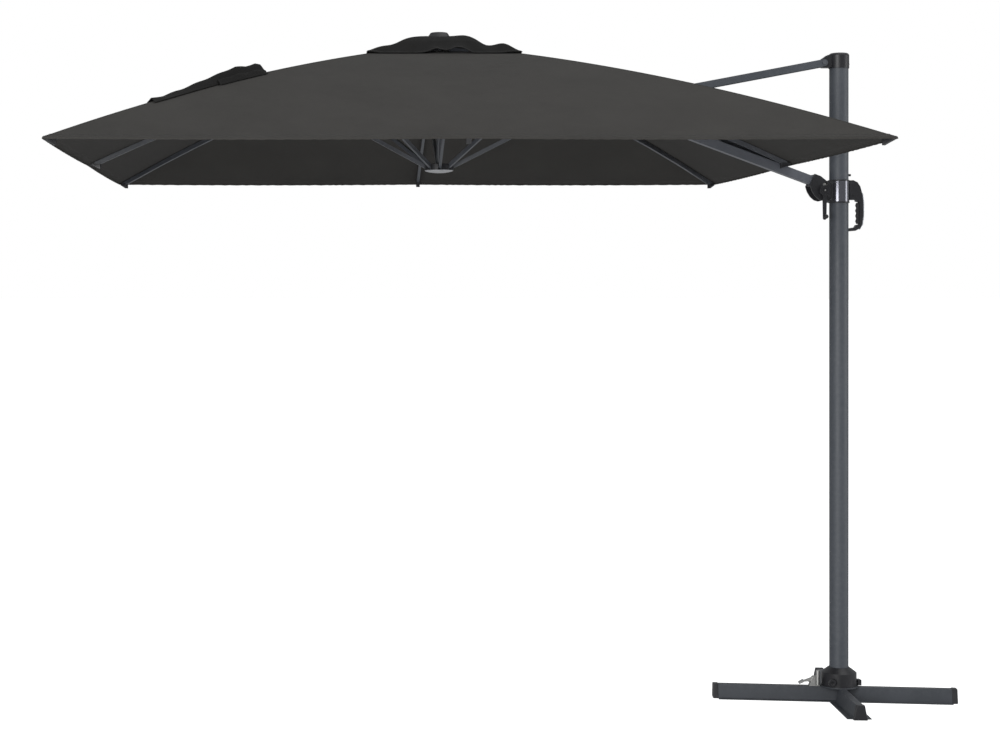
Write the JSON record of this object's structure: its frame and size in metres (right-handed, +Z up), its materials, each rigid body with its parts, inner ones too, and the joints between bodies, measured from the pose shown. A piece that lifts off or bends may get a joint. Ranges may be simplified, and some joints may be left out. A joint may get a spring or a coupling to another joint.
{
  "type": "cantilever parasol",
  "caption": "Square side-post parasol: a cross base, turning mast, slider with grip and winder, boom held by a twin-bar strut, and a vented canopy on folding ribs",
  "frame": {"origin": "where the mast's axis meets the ground, at the centre of the base cross's underside", "axes": "+Z up along the mast, -X from the mast towards the canopy's middle, -Y the front, where the winder's crank is"},
  "size_m": [3.6985, 3, 2.853],
  "materials": {
    "base_paint": "satin",
    "frame_paint": "satin",
    "rib_paint": "satin",
    "black_plastic": "satin",
    "collar_gloss": "gloss",
    "zinc": "satin",
    "cloth": "matte"
  },
  "bodies": {
    "base": {"base_bar_long": "base_paint", "base_bar_short": "base_paint", "base_end_caps": "black_plastic", "base_plate": "base_paint", "base_bolts": "zinc", "base_cover": "black_plastic", "index_ring": "zinc", "pedal_bracket": "zinc", "latch_plunger": "zinc", "lock_bolt": "black_plastic", "cover_latch": "black_plastic"},
    "pedal": {"foot_pedal": "zinc"},
    "mast": {"mast_foot": "frame_paint", "mast_tube": "frame_paint", "mast_cap": "black_plastic", "stop_button": "black_plastic"},
    "strut": {"strut_bars": "frame_paint", "strut_pins": "zinc"},
    "boom": {"boom_tube": "frame_paint", "boom_fittings": "black_plastic", "boom_lug": "black_plastic", "winder_housing": "black_plastic"},
    "crank": {"crank_arm": "black_plastic"},
    "crank_knob": {"crank_knob": "black_plastic"},
    "slider": {"slider_collar": "collar_gloss", "slider_liner": "black_plastic", "slider_bracket": "black_plastic", "slider_fasteners": "zinc", "handle_grip": "black_plastic", "handle_strip": "collar_gloss"},
    "trigger": {"trigger": "black_plastic"},
    "tilt_head": {"tilt_head": "black_plastic"},
    "hub": {"hub_body": "black_plastic", "hub_pins": "zinc", "finial": "black_plastic", "post_outer": "rib_paint", "canopy": "cloth", "vent_canopy": "cloth", "tie_strap": "cloth"},
    "post_middle": {"post_middle": "rib_paint"},
    "runner": {"runner_hub": "black_plastic", "runner_cap": "collar_gloss", "post_inner": "rib_paint"},
    "rib_mast_side": {"rib_mast_side": "rib_paint"},
    "stay_mast_side": {"stay_mast_side": "rib_paint"},
    "rib_mast_back": {"rib_mast_back": "rib_paint"},
    "stay_mast_back": {"stay_mast_back": "rib_paint"},
    "rib_back": {"rib_back": "rib_paint"},
    "stay_back": {"stay_back": "rib_paint"},
    "rib_outer_back": {"rib_outer_back": "rib_paint"},
    "stay_outer_back": {"stay_outer_back": "rib_paint"},
    "rib_outer": {"rib_outer": "rib_paint"},
    "stay_outer": {"stay_outer": "rib_paint"},
    "rib_outer_front": {"rib_outer_front": "rib_paint"},
    "stay_outer_front": {"stay_outer_front": "rib_paint"},
    "rib_front": {"rib_front": "rib_paint"},
    "stay_front": {"stay_front": "rib_paint"},
    "rib_mast_front": {"rib_mast_front": "rib_paint"},
    "stay_mast_front": {"stay_mast_front": "rib_paint"}
  },
  "joints": [
    {"name": "mast_turn", "type": "hinge", "parent": "base", "child": "mast", "pos_m": [0, 0, 0.1], "axis": [0, 0, 1], "continuous": true},
    {"name": "foot_pedal_press", "type": "hinge", "parent": "base", "child": "pedal", "pos_m": [-0.09932, 0.01167, 0.088], "axis": [0.1167, 0.9932, 0], "range_deg": [-5, 0], "stiffness_Nm_per_rad": 2},
    {"name": "fold", "type": "hinge", "parent": "mast", "child": "strut", "pos_m": [-0.07, 0, 2.722], "axis": [0, -1, 0], "range_deg": [0, 55], "deforming": ["canopy", "vent_canopy", "tie_strap"]},
    {"name": "boom_swing", "type": "hinge", "parent": "strut", "child": "boom", "pos_m": [-0.976, 0, 2.462], "axis": [0, 1, 0], "range_deg": [-0.05, 110.05]},
    {"name": "slider_pivot", "type": "hinge", "parent": "boom", "child": "slider", "pos_m": [-0.07, 0, 2.20207], "axis": [0, -1, 0], "range_deg": [-0.05, 55.05]},
    {"name": "side_tilt", "type": "hinge", "parent": "boom", "child": "tilt_head", "pos_m": [-1.52, 0, 2.74582], "axis": [-0.9363, 0, 0.3511], "range_deg": [-15, 15]},
    {"name": "crank_turn", "type": "hinge", "parent": "boom", "child": "crank", "pos_m": [-0.077, -0.0444, 2.176], "axis": [0, -1, 0], "range_deg": [-360.5, 360.5]},
    {"name": "crank_knob_spin", "type": "hinge", "parent": "crank", "child": "crank_knob", "pos_m": [-0.077, -0.0794, 2.064], "axis": [0, -1, 0], "continuous": true},
    {"name": "hub_level", "type": "hinge", "parent": "tilt_head", "child": "hub", "pos_m": [-1.52, 0, 2.74582], "axis": [0, -1, 0], "range_deg": [-0.05, 55.05]},
    {"name": "trigger_squeeze", "type": "slide", "parent": "slider", "child": "trigger", "axis": [1, 0, 0], "range_m": [0, 0.006], "stiffness_N_per_m": 400},
    {"name": "rib_mast_side_fold", "type": "hinge", "parent": "hub", "child": "rib_mast_side", "pos_m": [-1.6, 0, 2.764], "axis": [0, 1, 0], "range_deg": [-0.05, 68.84]},
    {"name": "stay_mast_side_fold", "type": "hinge", "parent": "rib_mast_side", "child": "stay_mast_side", "pos_m": [-1.041, 0, 2.58836], "axis": [0, 1, 0], "range_deg": [-123.89, 0.05]},
    {"name": "rib_mast_back_fold", "type": "hinge", "parent": "hub", "child": "rib_mast_back", "pos_m": [-1.67323, 0.03677, 2.777], "axis": [-0.7071, 0.7071, 0], "range_deg": [-0.05, 74.46]},
    {"name": "stay_mast_back_fold", "type": "hinge", "parent": "rib_mast_back", "child": "stay_mast_back", "pos_m": [-1.26382, 0.44618, 2.65449], "axis": [-0.7071, 0.7071, 0], "range_deg": [-128.11, 0.05]},
    {"name": "rib_back_fold", "type": "hinge", "parent": "hub", "child": "rib_back", "pos_m": [-1.71, 0.052, 2.777], "axis": [-1, 0, 0], "range_deg": [-0.05, 69.1]},
    {"name": "stay_back_fold", "type": "hinge", "parent": "rib_back", "child": "stay_back", "pos_m": [-1.71, 0.64, 2.59772], "axis": [-1, 0, 0], "range_deg": [-126.67, 0.05]},
    {"name": "rib_outer_back_fold", "type": "hinge", "parent": "hub", "child": "rib_outer_back", "pos_m": [-1.74677, 0.03677, 2.777], "axis": [-0.7071, -0.7071, 0], "range_deg": [-0.05, 74.46]},
    {"name": "stay_outer_back_fold", "type": "hinge", "parent": "rib_outer_back", "child": "stay_outer_back", "pos_m": [-2.15618, 0.44618, 2.65449], "axis": [-0.7071, -0.7071, 0], "range_deg": [-128.11, 0.05]},
    {"name": "rib_outer_fold", "type": "hinge", "parent": "hub", "child": "rib_outer", "pos_m": [-1.762, 0, 2.777], "axis": [0, -1, 0], "range_deg": [-0.05, 69.1]},
    {"name": "stay_outer_fold", "type": "hinge", "parent": "rib_outer", "child": "stay_outer", "pos_m": [-2.35, 0, 2.59772], "axis": [0, -1, 0], "range_deg": [-126.67, 0.05]},
    {"name": "rib_outer_front_fold", "type": "hinge", "parent": "hub", "child": "rib_outer_front", "pos_m": [-1.74677, -0.03677, 2.777], "axis": [0.7071, -0.7071, 0], "range_deg": [-0.05, 74.46]},
    {"name": "stay_outer_front_fold", "type": "hinge", "parent": "rib_outer_front", "child": "stay_outer_front", "pos_m": [-2.15618, -0.44618, 2.65449], "axis": [0.7071, -0.7071, 0], "range_deg": [-128.11, 0.05]},
    {"name": "rib_front_fold", "type": "hinge", "parent": "hub", "child": "rib_front", "pos_m": [-1.71, -0.052, 2.777], "axis": [1, 0, 0], "range_deg": [-0.05, 69.1]},
    {"name": "stay_front_fold", "type": "hinge", "parent": "rib_front", "child": "stay_front", "pos_m": [-1.71, -0.64, 2.59772], "axis": [1, 0, 0], "range_deg": [-126.67, 0.05]},
    {"name": "rib_mast_front_fold", "type": "hinge", "parent": "hub", "child": "rib_mast_front", "pos_m": [-1.67323, -0.03677, 2.777], "axis": [0.7071, 0.7071, 0], "range_deg": [-0.05, 74.46]},
    {"name": "stay_mast_front_fold", "type": "hinge", "parent": "rib_mast_front", "child": "stay_mast_front", "pos_m": [-1.26382, -0.44618, 2.65449], "axis": [0.7071, 0.7071, 0], "range_deg": [-128.11, 0.05]},
    {"name": "runner_slide", "type": "slide", "parent": "hub", "child": "runner", "axis": [0, 0, -1], "range_m": [-0.0005, 0.78324]},
    {"name": "post_middle_slide", "type": "slide", "parent": "hub", "child": "post_middle", "axis": [0, 0, -1], "range_m": [-0.0005, 0.39187]}
  ],
  "couplings": [
    {"joint": "boom_swing", "follows": "fold", "ratio": 2},
    {"joint": "slider_pivot", "follows": "fold", "ratio": 1},
    {"joint": "crank_turn", "follows": "side_tilt", "ratio": 24},
    {"joint": "hub_level", "follows": "fold", "ratio": 1},
    {"joint": "rib_mast_side_fold", "follows": "fold", "ratio": 1.2507},
    {"joint": "stay_mast_side_fold", "follows": "fold", "ratio": -2.2516},
    {"joint": "rib_mast_back_fold", "follows": "fold", "ratio": 1.3529},
    {"joint": "stay_mast_back_fold", "follows": "fold", "ratio": -2.3283},
    {"joint": "rib_back_fold", "follows": "fold", "ratio": 1.2554},
    {"joint": "stay_back_fold", "follows": "fold", "ratio": -2.3021},
    {"joint": "rib_outer_back_fold", "follows": "fold", "ratio": 1.3529},
    {"joint": "stay_outer_back_fold", "follows": "fold", "ratio": -2.3283},
    {"joint": "rib_outer_fold", "follows": "fold", "ratio": 1.2554},
    {"joint": "stay_outer_fold", "follows": "fold", "ratio": -2.3021},
    {"joint": "rib_outer_front_fold", "follows": "fold", "ratio": 1.3529},
    {"joint": "stay_outer_front_fold", "follows": "fold", "ratio": -2.3283},
    {"joint": "rib_front_fold", "follows": "fold", "ratio": 1.2554},
    {"joint": "stay_front_fold", "follows": "fold", "ratio": -2.3021},
    {"joint": "rib_mast_front_fold", "follows": "fold", "ratio": 1.3529},
    {"joint": "stay_mast_front_fold", "follows": "fold", "ratio": -2.3283},
    {"joint": "runner_slide", "follows": "fold", "m_per_rad": 0.81542},
    {"joint": "post_middle_slide", "follows": "fold", "m_per_rad": 0.40771}
  ]
}
